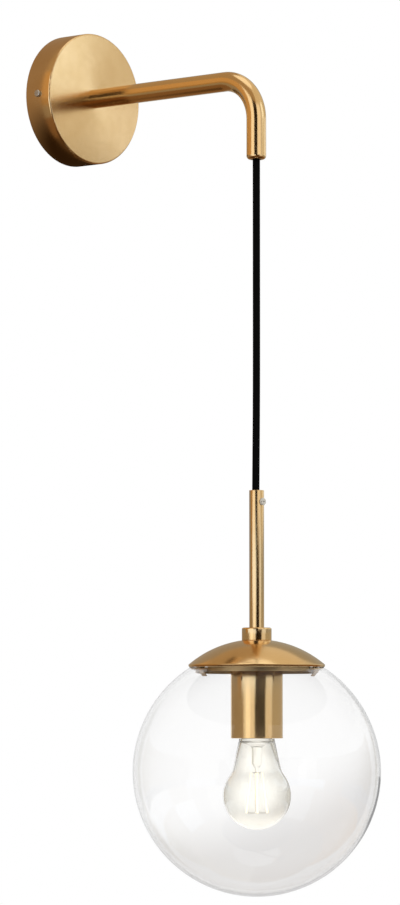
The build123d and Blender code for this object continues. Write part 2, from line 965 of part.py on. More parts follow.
def bulb_glass():
    top = bulb_skirt + bulb_spigot
    radius = bulb_cap_radius - bulb_cap_sheet - pass_gap
    glass = bulb_envelope(0) + disc(radius, bulb_skirt - bulb_wall, top)
    return glass - bulb_envelope(bulb_wall) - disc(radius - bulb_wall, bulb_skirt - 2 * bulb_wall, top)


def bulb_mount():
    top = bulb_skirt - mount_top
    flare = top - mount_flare
    tube_radius = mount_tube_diameter / 2
    rod_radius = mount_rod_diameter / 2
    tube_top = flare - mount_cone
    press = tube_top - mount_tube_length
    rod_top = press - mount_press
    edge = neck_radius(top) - bulb_wall - glass_gap
    return turned(
        (0, top),
        (edge, top),
        (edge, flare),
        (tube_radius, tube_top),
        (tube_radius, press),
        (rod_radius, rod_top),
        (rod_radius, rod_top - mount_rod_length),
        (0, rod_top - mount_rod_length),
    )


def filament_ends():
    """Upper and lower end of the first filament."""
    upper = (filament_top_circle / 2, 0, bulb_skirt - filament_top)
    lower = (filament_bottom_circle / 2, 0, bulb_skirt - filament_bottom)
    return upper, lower


def bulb_filaments():
    upper, lower = filament_ends()
    filament = rod_between(upper, lower, filament_diameter / 2)
    return group(around(filament, filament_count, filament_turn))


def bulb_wires():
    reach = filament_diameter / 2 + wire_gap
    root = mount_rod_diameter / 2 + fit_gap
    wires = []
    for across, _, height in filament_ends():
        wires.append(rod_between((root, 0, height), (across - reach, 0, height), wire_diameter / 2))
    return group([copy for wire in wires for copy in around(wire, filament_count, filament_turn)])


wall_pieces = [
    wall_bracket,
    wall_canopy,
    canopy_side_screws,
    arm_end_bush,
    arm_nipple,
    arm_lock_washer,
    arm_lock_nut,
    canopy_cord_grip,
    canopy_grip_screw,
    terminal_block,
    terminal_barrels,
    terminal_screws,
    terminal_fixing_screws,
    live_lead,
    neutral_lead,
    earth_lead,
    earth_lug,
    earth_screw,
    earth_bond_lead,
]
arm_pieces = [arm_tube, arm_cord]
drop_pieces = [
    arm_tip_bush,
    pendant_cord,
    stem_tube,
    cord_grip_screw,
    stem_cord,
    stem_nipple,
    stem_collar,
    cap_dome,
    cap_spacer,
    gallery_pan,
    globe_springs,
    spring_rivets,
    globe_gasket,
    globe_glass,
    socket_cup,
    cup_washer,
    cup_lock_nut,
    holder_cap,
    holder_barrel,
    holder_insert,
    screw_shell,
    centre_contact,
    holder_screws,
    holder_leads,
    bulb_contact,
    bulb_insulator,
    bulb_cap,
    bulb_glass,
    bulb_mount,
    bulb_filaments,
    bulb_wires,
]

os.makedirs("parts", exist_ok=True)
for piece in wall_pieces:
    export_step(on_wall(piece()), f"parts/{piece.__name__}.step")
for piece in arm_pieces:
    export_step(piece(), f"parts/{piece.__name__}.step")
for piece in drop_pieces:
    export_step(on_drop(piece()), f"parts/{piece.__name__}.step")
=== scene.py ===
"""Wall lamp in satin brass: canopy, bent arm, black cord, and a clear globe hanging under a dome cap.

Pieces are drawn in millimetres, on the pendant's axis or out from the wall, and placed in metres. Cords,
camera, floor, cards and lamps are in metres from the start.
"""

import json
from math import atan2, cos, pi, radians, sin, sqrt, tau

import bmesh
import bpy
from mathutils import Matrix, Vector


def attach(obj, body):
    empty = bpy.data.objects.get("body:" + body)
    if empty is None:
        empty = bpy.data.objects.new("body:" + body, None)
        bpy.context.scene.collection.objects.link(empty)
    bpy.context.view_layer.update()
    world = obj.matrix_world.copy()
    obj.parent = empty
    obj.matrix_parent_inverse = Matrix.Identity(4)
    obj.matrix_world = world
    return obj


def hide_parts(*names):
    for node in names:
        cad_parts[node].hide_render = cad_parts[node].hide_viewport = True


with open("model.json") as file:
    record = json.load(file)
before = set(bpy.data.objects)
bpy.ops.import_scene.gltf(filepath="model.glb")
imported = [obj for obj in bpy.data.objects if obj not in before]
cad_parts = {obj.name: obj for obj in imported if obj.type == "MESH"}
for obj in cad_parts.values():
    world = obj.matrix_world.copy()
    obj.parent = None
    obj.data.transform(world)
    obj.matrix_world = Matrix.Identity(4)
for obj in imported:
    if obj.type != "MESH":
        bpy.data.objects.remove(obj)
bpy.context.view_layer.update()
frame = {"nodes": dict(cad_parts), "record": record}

# Sizes in millimetres that the wall side and the pendant share
cord_radius = 3.0
nipple_hole = 5.2

# Sizes of the wall side
canopy_radius = 55.0
canopy_depth = 27.0
canopy_wall = 1.2
canopy_edge = 1.6
arm_radius = 8.0
arm_bore = 6.5
arm_reach = 208.0
arm_bend = 34.0
arm_tip = -67.0
tip_wall = 3.5
tip_round = 3.0
tip_hole = 4.45
tip_hole_round = 0.15
bush_bore = 3.35
bush_mouth = 0.8
bush_radius = 4.4
bush_flange_radius = 6.15
bush_flange = 1.5

# Sizes of the pendant
fit_gap = 0.05
nipple_seat = 5.05
stem_top = -336.0
stem_radius = 6.0
stem_bore = 4.5
stem_edge = 0.4
stem_bottom = -451.0
stem_thread = 11.2
collar_top = -447.0
collar_radius = 12.0
collar_round = 1.3
collar_edge = 0.4
cap_top = -457.3
cap_rim = -478.8
cap_lip = 1.8
cap_lip_round = 0.3
cap_tuck = 0.6
cap_rim_round = 0.12
cap_radius = 55.25
cap_sheet = 0.9
globe_radius = 100.0
globe_wall = 2.2
globe_mouth = 51.5
globe_mouth_round = 0.9
globe_rim_gap = 0.45
cup_radius = 21.0
cup_top = -475.8
cup_bottom = -536.2
cup_sheet = 0.9
cup_corner = 1.5
cup_edge = 0.35

# Sizes of the bulb's glass
bulb_top = -509.7
bulb_skirt = -536.2
bulb_radius = 27.5
bulb_centre = -582.2
bulb_wall = 0.8
spigot_inset = 0.6
spigot_length = 6.0
neck_start = 14.2
neck_end = 24.1
neck_blend = 16.0
neck_gap = 0.3
neck_round = 0.3

# Sizes of the bulb's screw cap
bulb_cap_radius = 13.1
bulb_cap_hole = 8.85
crown_height = 3.2
crown_bevel = 1.2
crown_slope = 0.4
crown_round = 0.6
crown_inset = 0.2
crown_foot = 1.0
shoulder_height = 1.6
shoulder_round = 0.4
thread_pitch = 3.629
thread_depth = 0.9
thread_turns = 6
thread_lift = 0.01
skirt_wall = 0.4
skirt_lip = 0.3
skirt_height = 1.2
skirt_edge = 0.2
skirt_round = 0.4

# Sizes of the bulb's filaments, with heights below the skirt
filament_count = 4
filament_radius = 0.8
filament_round = 0.5
filament_top = 28.0
filament_bottom = 60.0
filament_top_across = 4.5
filament_bottom_across = 8.5
filament_turn = 45.0

# Sizes of the glass that carries them, with heights below its top, which is mount_drop below the skirt
mount_drop = 2.5
flare_radius = 13.6
flare_edge = 1.0
flare_round = 0.3
tube_radius = 4.2
tube_top = 5.0
tube_bottom = 18.0
tube_round = 1.5
rod_radius = 1.5
rod_top = 21.0
rod_bottom = 57.0
rod_root_round = 1.0
rod_end_round = 0.7

# Steps that round shapes are drawn with, and the distance that closes their seams
widest_steps = 160
wide_steps = 128
middle_steps = 96
small_steps = 64
rod_steps = 20
bend_steps = 24
dome_steps = 40
dome_inner_steps = 30
globe_steps = 90
ball_steps = 40
neck_steps = 14
thread_steps = 12
corner_steps = 5
seam = 0.0005

# Where a drawn piece goes
drop_place = Matrix.Scale(0.001, 4) @ Matrix.Translation((0, -arm_reach, 0))
wall_place = Matrix.Scale(0.001, 4) @ Matrix.Rotation(radians(90), 4, "X")
plain_place = Matrix.Scale(0.001, 4)


# Finishes


class Socket:
    """Output of a shader node; sums and products with it add Math nodes to the same tree."""

    def __init__(self, tree, output=None):
        self.tree = tree
        self.output = output

    def add(self, kind, settings=None, sockets=None, output=0):
        """Adds a node: its settings first, then the values or links of its sockets."""
        node = self.tree.nodes.new(kind)
        for name, value in (settings or {}).items():
            setattr(node, name, value)
        for name, value in (sockets or {}).items():
            if isinstance(value, Socket):
                self.tree.links.new(value.output, node.inputs[name])
            else:
                node.inputs[name].default_value = value
        return Socket(self.tree, node.outputs[output] if len(node.outputs) else None)

    def maths(self, operation, first, second):
        """Adds a Math node for two values."""
        return self.add("ShaderNodeMath", {"operation": operation}, {0: first, 1: second})

    def __add__(self, other):
        return self.maths("ADD", self, other)

    def __radd__(self, other):
        return self.maths("ADD", other, self)

    def __mul__(self, other):
        return self.maths("MULTIPLY", self, other)

    def __rmul__(self, other):
        return self.maths("MULTIPLY", other, self)


def blank(name):
    """New material with an empty tree."""
    material = bpy.data.materials.new(name)
    material.use_nodes = True
    material.node_tree.nodes.clear()
    return material, Socket(material.node_tree)


def close(tree, surface, volume=None):
    """Ends a material's tree."""
    links = {"Surface": surface}
    if volume:
        links["Volume"] = volume
    tree.add("ShaderNodeOutputMaterial", {}, links)


def spot(tree):
    """Place on the piece."""
    return tree.add("ShaderNodeTexCoord", output="Object")


def height_on(tree):
    """Height on the piece."""
    return tree.add("ShaderNodeSeparateXYZ", {}, {0: spot(tree)}, "Z")


def grain(tree, scale):
    """Noise over the piece."""
    return tree.add("ShaderNodeTexNoise", {}, {"Vector": spot(tree), "Scale": scale, "Detail": 3.0})


def blended(tree, factor, first, second):
    """Colour between two others."""
    return tree.add(
        "ShaderNodeMix", {"data_type": "RGBA"}, {0: factor, 6: (*first, 1), 7: (*second, 1)}, 2
    )


def eased(tree, value, start, end, first=0.0, last=1.0, kind="SMOOTHSTEP"):
    """Goes smoothly from the first result to the last while the value goes from start to end."""
    return tree.add(
        "ShaderNodeMapRange", {"interpolation_type": kind},
        {"Value": value, "From Min": start, "From Max": end, "To Min": first, "To Max": last},
    )


def shine(tree, colour, strength):
    """Even light of a colour."""
    return tree.add("ShaderNodeEmission", {}, {"Color": (*colour, 1), "Strength": strength})


def mixed(tree, factor, first, second):
    """Surface between two others."""
    return tree.add("ShaderNodeMixShader", {}, {0: factor, 1: first, 2: second})


def worked(name, light, dark, rough, spread, settings, bump=0.04, cloud=60.0, turned=False):
    """Material a little uneven in colour, roughness and surface, or with the fine rings of a turned face."""
    material, tree = blank(name)
    patch = grain(tree, cloud)
    fine = grain(tree, fine_grain)
    relief = fine
    if turned:
        relief = tree.add(
            "ShaderNodeTexWave", {"wave_type": "RINGS", "rings_direction": "Y"},
            {"Vector": spot(tree), "Scale": 520.0, "Distortion": 4.0, "Detail": 2.0},
        )
    lumps = tree.add("ShaderNodeBump", {}, {"Strength": bump, "Distance": 0.0002, "Height": relief})
    sockets = {
        "Base Color": blended(tree, patch, light, dark),
        "Roughness": rough + spread * fine,
        "Normal": lumps,
        **settings,
    }
    close(tree, tree.add("ShaderNodeBsdfPrincipled", {}, sockets))
    return material


def polished(colour, bending):
    """Values that clear glass has all over."""
    return {
        "Base Color": (*colour, 1),
        "Roughness": 0.0,
        "IOR": bending,
        "Specular Tint": (0.4, 0.4, 0.4, 1),
        "Transmission Weight": 1.0,
    }


def clear(name, colour, grey, depth):
    """Clear glass that greys a little with the depth of glass looked through."""
    material, tree = blank(name)
    inside = tree.add("ShaderNodeVolumeAbsorption", {}, {"Color": (*grey, 1), "Density": depth})
    close(tree, tree.add("ShaderNodeBsdfPrincipled", {}, polished(colour, glass_bending)), inside)
    return material


def glass_with_painted_glow(name, colour, glow, strength, bending):
    """Clear glass of a bulb that is lit, with a painted glow that makes it paler where it faces the eye and
    towards its lower end.
    """
    material, tree = blank(name)
    # Painted glow: full at the lower end and where the glass faces the eye
    tip = eased(tree, height_on(tree), painted_glow_full, painted_glow_none, 1.0, 0.0, "SMOOTHERSTEP")
    facing = tree.add("ShaderNodeLayerWeight", {}, {"Blend": 0.5}, "Facing")
    middle = eased(tree, facing, 0.0, 0.4, 0.75, 0.0)
    sockets = {
        **polished(colour, bending),
        "Emission Color": blended(tree, tree.maths("MAXIMUM", tip, middle), (0, 0, 0), glow),
        "Emission Strength": strength,
    }
    close(tree, tree.add("ShaderNodeBsdfPrincipled", {}, sockets))
    return material


def earth_stripes():
    """Green insulation with yellow stripes."""
    material, tree = blank("earth_core")
    bands = tree.add(
        "ShaderNodeTexWave", {"wave_type": "BANDS", "bands_direction": "DIAGONAL"},
        {"Vector": spot(tree), "Scale": 320.0},
    )
    colour = blended(tree, bands, (0.06, 0.26, 0.03), (0.78, 0.60, 0.02))
    close(tree, tree.add("ShaderNodeBsdfPrincipled", {}, {"Base Color": colour, "Roughness": 0.45}))
    return material


def glowing(name, colour, strength):
    """Lit coating, a little brighter in patches."""
    material, tree = blank(name)
    sockets = {
        "Base Color": (1.0, 0.75, 0.40, 1),
        "Roughness": 0.6,
        "Emission Color": blended(tree, grain(tree, 400.0), colour, [0.92 * part for part in colour]),
        "Emission Strength": strength,
    }
    close(tree, tree.add("ShaderNodeBsdfPrincipled", {}, sockets))
    return material


glass_bending = 1.48
mount_bending = 1.15

# Heights in metres where the painted glow of the bulb's lower end is full and where it ends
painted_glow_full = -0.607
painted_glow_none = -0.588

# Settings that several finishes share
fine_grain = 1500.0
metal = {"Metallic": 1.0}
matt = {"Specular IOR Level": 0.05}
lacquer = {"Metallic": 1.0, "Coat Weight": 0.15, "Coat Roughness": 0.12}

# Light and dark colour, roughness and its spread, other settings and, where it differs, the relief
shades = {
    "satin_brass": ((0.77, 0.54, 0.27), (0.71, 0.48, 0.23), 0.15, 0.05, lacquer, 0.003),
    "zinc_steel": ((0.66, 0.67, 0.68), (0.58, 0.59, 0.60), 0.28, 0.15, metal),
    "spring_bronze": ((0.40, 0.29, 0.17), (0.34, 0.24, 0.14), 0.3, 0.1, metal),
    # dull_brass is darker than the satin brass partly for a dull, unlacquered finish and partly as painted
    # shade, for the pan that sits in the dome's shade
    "dull_brass": ((0.38, 0.27, 0.14), (0.32, 0.22, 0.11), 0.35, 0.1, metal),
    "natural_nylon": ((0.56, 0.53, 0.46), (0.50, 0.47, 0.41), 0.4, 0.1, {}),
    "black_nylon": ((0.02, 0.02, 0.02), (0.012, 0.012, 0.012), 0.45, 0.1, {}),
    "cord_sheath": ((0.003, 0.003, 0.003), (0.002, 0.002, 0.002), 0.8, 0.15, matt, 0.3),
    "white_polyamide": ((0.87, 0.87, 0.85), (0.83, 0.83, 0.81), 0.45, 0.1, {}),
    "contact_brass": ((0.80, 0.63, 0.33), (0.72, 0.55, 0.27), 0.22, 0.12, metal),
    "brown_core": ((0.22, 0.10, 0.04), (0.18, 0.08, 0.03), 0.42, 0.1, {}),
    "blue_core": ((0.05, 0.20, 0.55), (0.04, 0.16, 0.48), 0.42, 0.1, {}),
    "holder_core": ((0.22, 0.10, 0.04), (0.18, 0.08, 0.03), 0.42, 0.1, {}),
    "silicone": ((0.05, 0.03, 0.02), (0.04, 0.025, 0.015), 0.6, 0.1, {}),
    "black_holder": ((0.02, 0.02, 0.02), (0.014, 0.014, 0.014), 0.5, 0.1, {}),
    "porcelain": ((0.90, 0.89, 0.86), (0.86, 0.85, 0.81), 0.35, 0.15, {}),
    "cap_nickel": ((0.74, 0.73, 0.70), (0.66, 0.65, 0.62), 0.2, 0.12, metal),
    "black_insulator": ((0.01, 0.01, 0.01), (0.006, 0.006, 0.006), 0.15, 0.1, {}),
    "support_wire": ((0.60, 0.58, 0.55), (0.5, 0.48, 0.45), 0.3, 0.1, metal),
}
finishes = {name: worked(name, *shade) for name, shade in shades.items()}
finishes["earth_core"] = earth_stripes()
finishes["clear_glass"] = clear("clear_glass", (1.0, 1.0, 1.0), (0.55, 0.54, 0.53), 4.0)
finishes["filament_glow"] = glowing("filament_glow", (1.0, 0.86, 0.62), 1.2)
face_brass = worked(
    "face_brass", (0.80, 0.57, 0.31), (0.70, 0.47, 0.22), 0.15, 0.08, lacquer, 0.12, cloud=75.0, turned=True
)
# The bulb's glass and its glass stem get a painted glow, which stands in for the light of the filaments
# inside them
painted_glow_bulb_glass = glass_with_painted_glow("bulb_glass", (0.86, 0.855, 0.83), (1.0, 0.96, 0.86), 0.135, glass_bending)
painted_glow_stem_glass = glass_with_painted_glow("stem_glass", (0.96, 0.95, 0.94), (1.0, 0.95, 0.84), 0.05, mount_bending)

for row in frame["record"]["subparts"]:
    node = frame["nodes"][row["node"]].data
    node.materials.clear()
    node.materials.append(finishes[row["material_slot"]])


# Drawing


class Outline:
    """Half section of a turned piece, drawn as distances from the axis and heights."""

    def __init__(self, across, height, rounding=0.0):
        self.mesh = bmesh.new()
        self.first = self.mesh.verts.new((across, 0, height))
        self.last = self.first
        self.corners = [(self.first, rounding)] if rounding else []

    def to(self, across, height, rounding=0.0):
        """Goes straight to a point, whose corner is rounded later."""
        corner = self.mesh.verts.new((across, 0, height))
        self.mesh.edges.new((self.last, corner))
        self.last = corner
        if rounding:
            self.corners.append((corner, rounding))
        return self

    def arc(self, centre, end, steps, rounding=0.0):
        """Goes round a centre to the direction of an end point."""
        start = self.last.co.x - centre[0], self.last.co.z - centre[1]
        turn = atan2(end[0] - centre[0], end[1] - centre[1]) - atan2(*start)
        turn = (turn + pi) % tau - pi
        swung = bmesh.ops.spin(
            self.mesh, geom=[self.last], cent=(centre[0], 0, centre[1]), axis=(0, 1, 0), angle=turn,
            steps=steps,
        )
        self.last = next(part for part in swung["geom_last"] if isinstance(part, bmesh.types.BMVert))
        if rounding:
            self.corners.append((self.last, rounding))
        return self

    def shut(self):
        """Joins the end to the start."""
        self.mesh.edges.new((self.last, self.first))
        return self

    def turned(self, steps, place=drop_place):
        """Rounds the corners and turns the section about the axis."""
        for corner, rounding in self.corners:
            bmesh.ops.bevel(
                self.mesh, geom=[corner], offset=rounding, offset_type="OFFSET", affect="VERTICES",
                segments=corner_steps, profile=0.5, material=-1,
            )
        bmesh.ops.spin(
            self.mesh, geom=self.mesh.verts[:] + self.mesh.edges[:], cent=(0, 0, 0), axis=(0, 0, 1),
            angle=tau, steps=steps, use_merge=True,
        )
        return settled(self.mesh, place)


def settled(shape, place):
    """Merges a shape's seams, turns its faces outwards and puts it in place."""
    bmesh.ops.remove_doubles(shape, verts=shape.verts, dist=seam)
    bmesh.ops.recalc_face_normals(shape, faces=shape.faces)
    bmesh.ops.transform(shape, matrix=place, verts=shape.verts)
    return shape


def section(first, *corners):
    """Closed outline of corners given as distance, height and, where rounded, the rounding."""
    outline = Outline(*first)
    for corner in corners:
        outline.to(*corner)
    return outline.shut()


def made(name, shape, material):
    """Makes an object of a shape."""
    mesh = bpy.data.meshes.new(name)
    shape.to_mesh(mesh)
    shape.free()
    mesh.materials.append(material)
    thing = bpy.data.objects.new(name, mesh)
    bpy.context.collection.objects.link(thing)
    return thing


def piece(name, shape, slot, body, nodes, material=None, crease=35):
    """Makes a piece of a shape, which stands for the nodes."""
    thing = made(name, shape, material or finishes[slot])
    thing.data.shade_smooth()
    thing.data.set_sharp_from_angle(angle=radians(crease))
    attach(thing, body)
    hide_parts(*nodes)
    return thing


def hidden(thing, *rays):
    """Keeps a thing out of sight of kinds of rays."""
    for ray in rays:
        setattr(thing, f"visible_{ray}", False)


# Wall side


def canopy_shell():
    back = canopy_depth - canopy_wall
    bore = canopy_radius - canopy_wall
    return section(
        (nipple_hole, canopy_depth), (canopy_radius, canopy_depth, canopy_edge), (canopy_radius, 0.0),
        (bore, 0.0), (bore, back, canopy_edge), (nipple_hole, back),
    ).turned(widest_steps, wall_place)


def arm():
    """Tube as a ring pushed out from the canopy, round the bend and down to the tip."""
    shape = bmesh.new()
    rims = []
    for radius in (arm_radius, arm_bore):
        ring = bmesh.ops.create_circle(shape, segments=small_steps, radius=radius)
        rims += {edge for vert in ring["verts"] for edge in vert.link_edges}
    flange = bmesh.ops.bridge_loops(shape, edges=rims)["faces"]
    upright = Matrix.Translation((0, -canopy_depth, 0)) @ Matrix.Rotation(radians(90), 4, "X")
    bmesh.ops.transform(shape, matrix=upright, verts=shape.verts)
    run = bmesh.ops.extrude_face_region(shape, geom=flange)["geom"]
    moved = [part for part in run if isinstance(part, bmesh.types.BMVert)]
    bmesh.ops.translate(shape, vec=(0, canopy_depth + arm_bend - arm_reach, 0), verts=moved)
    bend = bmesh.ops.spin(
        shape, geom=run, cent=(0, arm_bend - arm_reach, -arm_bend), axis=(1, 0, 0), angle=radians(90),
        steps=bend_steps,
    )
    leg = bmesh.ops.extrude_face_region(shape, geom=bend["geom_last"])["geom"]
    moved = [part for part in leg if isinstance(part, bmesh.types.BMVert)]
    bmesh.ops.translate(shape, vec=(0, 0, arm_tip + tip_wall + arm_bend), verts=moved)
    end = [part for part in leg if isinstance(part, bmesh.types.BMFace)]
    bmesh.ops.delete(shape, geom=end, context="FACES_ONLY")
    return settled(shape, plain_place)


def arm_end():
    seat = arm_tip + tip_wall
    return section(
        (arm_radius, seat), (arm_radius, arm_tip, tip_round), (tip_hole, arm_tip, tip_hole_round),
        (tip_hole, seat),
    ).turned(small_steps)


def tip_bush():
    seat = arm_tip + tip_wall
    top = seat + bush_flange
    return section(
        (bush_bore, arm_tip, bush_mouth), (bush_radius, arm_tip), (bush_radius, seat),
        (bush_flange_radius, seat), (bush_flange_radius, top), (bush_bore, top),
    ).turned(small_steps)


# Pendant


def stem():
    thread_top = stem_bottom + stem_thread
    return section(
        (stem_bore, stem_top), (stem_radius, stem_top, stem_edge), (stem_radius, stem_bottom),
        (nipple_seat, stem_bottom), (nipple_seat, thread_top), (stem_bore, thread_top),
    ).turned(middle_steps)


def collar():
    seat = stem_radius + fit_gap
    return section(
        (seat, collar_top), (collar_radius, collar_top, collar_round), (collar_radius, cap_top, collar_edge),
        (nipple_seat, cap_top), (nipple_seat, stem_bottom), (seat, stem_bottom),
    ).turned(middle_steps)


def crown():
    """Height of the dome's centre and its radius, from the collar's edge and the top of the lip."""
    rise = cap_top - cap_rim - cap_lip
    centre = cap_rim + cap_lip + (collar_radius**2 + rise**2 - cap_radius**2) / (2 * rise)
    return centre, sqrt(collar_radius**2 + (cap_top - centre) ** 2)


def dome():
    centre, radius = crown()
    bore = cap_radius - cap_sheet
    inner = radius - cap_sheet
    seat = cap_top - cap_sheet
    inner_seat = sqrt(inner**2 - (seat - centre) ** 2)
    outline = Outline(nipple_hole, cap_top).to(collar_radius, cap_top)
    outline.arc((0, centre), (cap_radius, cap_rim + cap_lip), dome_steps, cap_lip_round)
    outline.to(cap_radius - cap_tuck, cap_rim, cap_rim_round)
    outline.to(bore, cap_rim).to(bore, centre + sqrt(inner**2 - bore**2))
    outline.arc((0, centre), (inner_seat, seat), dome_inner_steps).to(nipple_hole, seat)
    return outline.shut().turned(widest_steps)


def globe():
    bore = cap_radius - cap_sheet
    centre = cap_rim - globe_rim_gap - sqrt(globe_radius**2 - bore**2)
    inner = globe_radius - globe_wall
    outer_edge = globe_mouth, centre + sqrt(globe_radius**2 - globe_mouth**2)
    inner_edge = globe_mouth, centre + sqrt(inner**2 - globe_mouth**2)
    outline = Outline(0, centre - globe_radius)
    outline.arc((0, centre), outer_edge, globe_steps, globe_mouth_round).to(*inner_edge, globe_mouth_round)
    return outline.arc((0, centre), (0, centre - inner), globe_steps).turned(widest_steps)


def cup():
    inner = cup_radius - cup_sheet
    inner_top = cup_top - cup_sheet
    return section(
        (nipple_hole, cup_top), (cup_radius, cup_top, cup_corner), (cup_radius, cup_bottom, cup_edge),
        (inner, cup_bottom, cup_edge), (inner, inner_top, cup_corner - cup_sheet), (nipple_hole, inner_top),
    ).turned(wide_steps)


# Bulb


def neck_arc(wall):
    """Centre of the curve between the bulb's neck and its ball, with where it leaves both."""
    start = Vector((neck_start, bulb_skirt - neck_gap))
    along = (Vector((neck_end, bulb_centre)) - start).normalized()
    out = Vector((-along.y, along.x))
    ball = Vector((0, bulb_centre))
    reach = bulb_radius + neck_blend
    away = start + neck_blend * out - ball
    half = away.dot(along)
    middle = away + ball + along * (-half - sqrt(half**2 - away.length_squared + reach**2))
    from_neck = middle - (neck_blend + wall) * out
    from_ball = ball + (middle - ball).normalized() * (bulb_radius - wall)
    return middle, from_neck, from_ball


def bulb_shell():
    neck_top = bulb_skirt - neck_gap
    spigot = bulb_cap_radius - spigot_inset
    spigot_top = bulb_skirt + spigot_length
    bore = spigot - bulb_wall
    middle, from_neck, from_ball = neck_arc(0)
    outline = Outline(0, bulb_centre - bulb_radius).arc((0, bulb_centre), from_ball, ball_steps)
    outline.arc(middle, from_neck, neck_steps).to(neck_start, neck_top, neck_round)
    outline.to(spigot, neck_top).to(spigot, spigot_top).to(bore, spigot_top).to(bore, neck_top - bulb_wall)
    middle, from_neck, from_ball = neck_arc(bulb_wall)
    outline.to(*from_neck).arc(middle, from_ball, neck_steps)
    end = 0, bulb_centre - bulb_radius + bulb_wall
    return outline.arc((0, bulb_centre), end, ball_steps).turned(wide_steps)


def bulb_screw_cap():
    """Rolled thread between the cap's crown and its skirt."""
    shape = bmesh.new()
    last = None
    for step in range((thread_turns + 1) * thread_steps + 1):
        turn = step / thread_steps
        wave = bulb_cap_radius - thread_depth / 2 * (1 - cos(tau * turn))
        vert = shape.verts.new((wave, 0, bulb_skirt + thread_pitch * (turn - 1)))
        if last:
            shape.edges.new((last, vert))
        last = vert
    bmesh.ops.spin(
        shape, geom=shape.verts[:] + shape.edges[:], cent=(0, 0, 0), axis=(0, 0, 1), angle=tau,
        steps=small_steps, dvec=(0, 0, thread_pitch / small_steps),
    )
    bmesh.ops.remove_doubles(shape, verts=shape.verts, dist=2 * seam)
    shoulder = bulb_top - crown_height - shoulder_height
    for height, side in ((bulb_skirt + thread_lift, -1), (shoulder, 1)):
        cut = bmesh.ops.bisect_plane(
            shape, geom=shape.verts[:] + shape.edges[:] + shape.faces[:], plane_co=(0, 0, height),
            plane_no=(0, 0, side), clear_outer=True,
        )
        rim = [part for part in cut["geom_cut"] if isinstance(part, bmesh.types.BMEdge)]
        bmesh.ops.edgeloop_fill(shape, edges=rim)
    return settled(shape, drop_place)


def bulb_cap_crown():
    top = bulb_top - crown_height
    shoulder = top - shoulder_height
    foot = shoulder - crown_foot
    side = bulb_cap_radius - crown_inset
    return section(
        (bulb_cap_hole, top), (bulb_cap_radius - crown_bevel, top - crown_slope, crown_round),
        (side, shoulder, shoulder_round), (side, foot), (bulb_cap_hole, foot),
    ).turned(middle_steps)


def bulb_cap_skirt():
    inner = bulb_cap_radius - skirt_wall
    outer = bulb_cap_radius + skirt_lip
    top = bulb_skirt + skirt_height
    return section(
        (inner, bulb_skirt), (outer, bulb_skirt, skirt_edge), (outer, top, skirt_round), (inner, top)
    ).turned(middle_steps)


def filaments():
    """One leaning rod, turned about the axis into all of them."""
    upper = Vector((filament_top_across, 0, bulb_skirt - filament_top))
    lower = Vector((filament_bottom_across, 0, bulb_skirt - filament_bottom))
    reach = lower - upper
    half = reach.length / 2
    outline = Outline(0, -half).to(filament_radius, -half, filament_round)
    rod = outline.to(filament_radius, half, filament_round).to(0, half).turned(rod_steps, Matrix.Identity(4))
    lean = Matrix.Translation((upper + lower) / 2) @ reach.to_track_quat("Z", "X").to_matrix().to_4x4()
    bmesh.ops.transform(rod, matrix=Matrix.Rotation(radians(filament_turn), 4, "Z") @ lean, verts=rod.verts)
    bmesh.ops.spin(
        rod, geom=rod.verts[:] + rod.edges[:] + rod.faces[:], cent=(0, 0, 0), axis=(0, 0, 1),
        angle=tau - tau / filament_count, steps=filament_count - 1, use_duplicate=True,
    )
    return settled(rod, drop_place)


def glass_stem():
    top = bulb_skirt - mount_drop
    end = top - rod_bottom
    return section(
        (0, top), (flare_radius, top, flare_round), (flare_radius, top - flare_edge, flare_round),
        (tube_radius, top - tube_top, tube_round), (tube_radius, top - tube_bottom, tube_round),
        (rod_radius, top - rod_top, rod_root_round), (rod_radius, end, rod_end_round), (0, end),
    ).turned(small_steps)


# Cords


def cord(name, points, body, node):
    """Black cord along an open curve."""
    curve = bpy.data.curves.new(name, "CURVE")
    curve.dimensions = "3D"
    curve.bevel_depth = cord_radius / 1000
    curve.bevel_resolution = 8
    curve.resolution_u = 16
    curve.use_fill_caps = True
    spline = curve.splines.new("NURBS")
    spline.points.add(len(points) - 1)
    for point, place in zip(spline.points, points):
        point.co = (*place, 1)
    spline.order_u = 3
    spline.use_endpoint_u = True
    curve.materials.append(finishes["cord_sheath"])
    thing = bpy.data.objects.new(name, curve)
    bpy.context.collection.objects.link(thing)
    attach(thing, body)
    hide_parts(node)
    return thing


piece("canopy_shell", canopy_shell(), "satin_brass", "wall_unit", ["wall_canopy"], face_brass)
piece("bent_arm", arm(), "satin_brass", "wall_unit", ["arm_tube"])
piece("arm_tip", arm_end(), "satin_brass", "wall_unit", ["arm_tube"])
piece("cord_bush", tip_bush(), "black_nylon", "wall_unit", ["arm_tip_bush"])
piece("stem", stem(), "satin_brass", "pendant", ["stem_tube"])
piece("collar", collar(), "satin_brass", "pendant", ["stem_collar"])
piece("dome", dome(), "satin_brass", "pendant", ["cap_dome"])
hidden(piece("glass_globe", globe(), "clear_glass", "globe", ["globe_glass"]), "shadow")
piece("lamp_cup", cup(), "satin_brass", "pendant", ["socket_cup"])
hidden(piece("bulb_bulb", bulb_shell(), "clear_glass", "bulb", ["bulb_glass"], painted_glow_bulb_glass), "shadow")
piece("bulb_thread", bulb_screw_cap(), "cap_nickel", "bulb", ["bulb_cap"], crease=60)
piece("bulb_crown", bulb_cap_crown(), "cap_nickel", "bulb", ["bulb_cap"])
piece("bulb_skirt", bulb_cap_skirt(), "cap_nickel", "bulb", ["bulb_cap"])
piece("lit_filaments", filaments(), "filament_glow", "bulb", ["bulb_filaments"])
piece("glass_stem", glass_stem(), "clear_glass", "bulb", ["bulb_mount"], painted_glow_stem_glass)

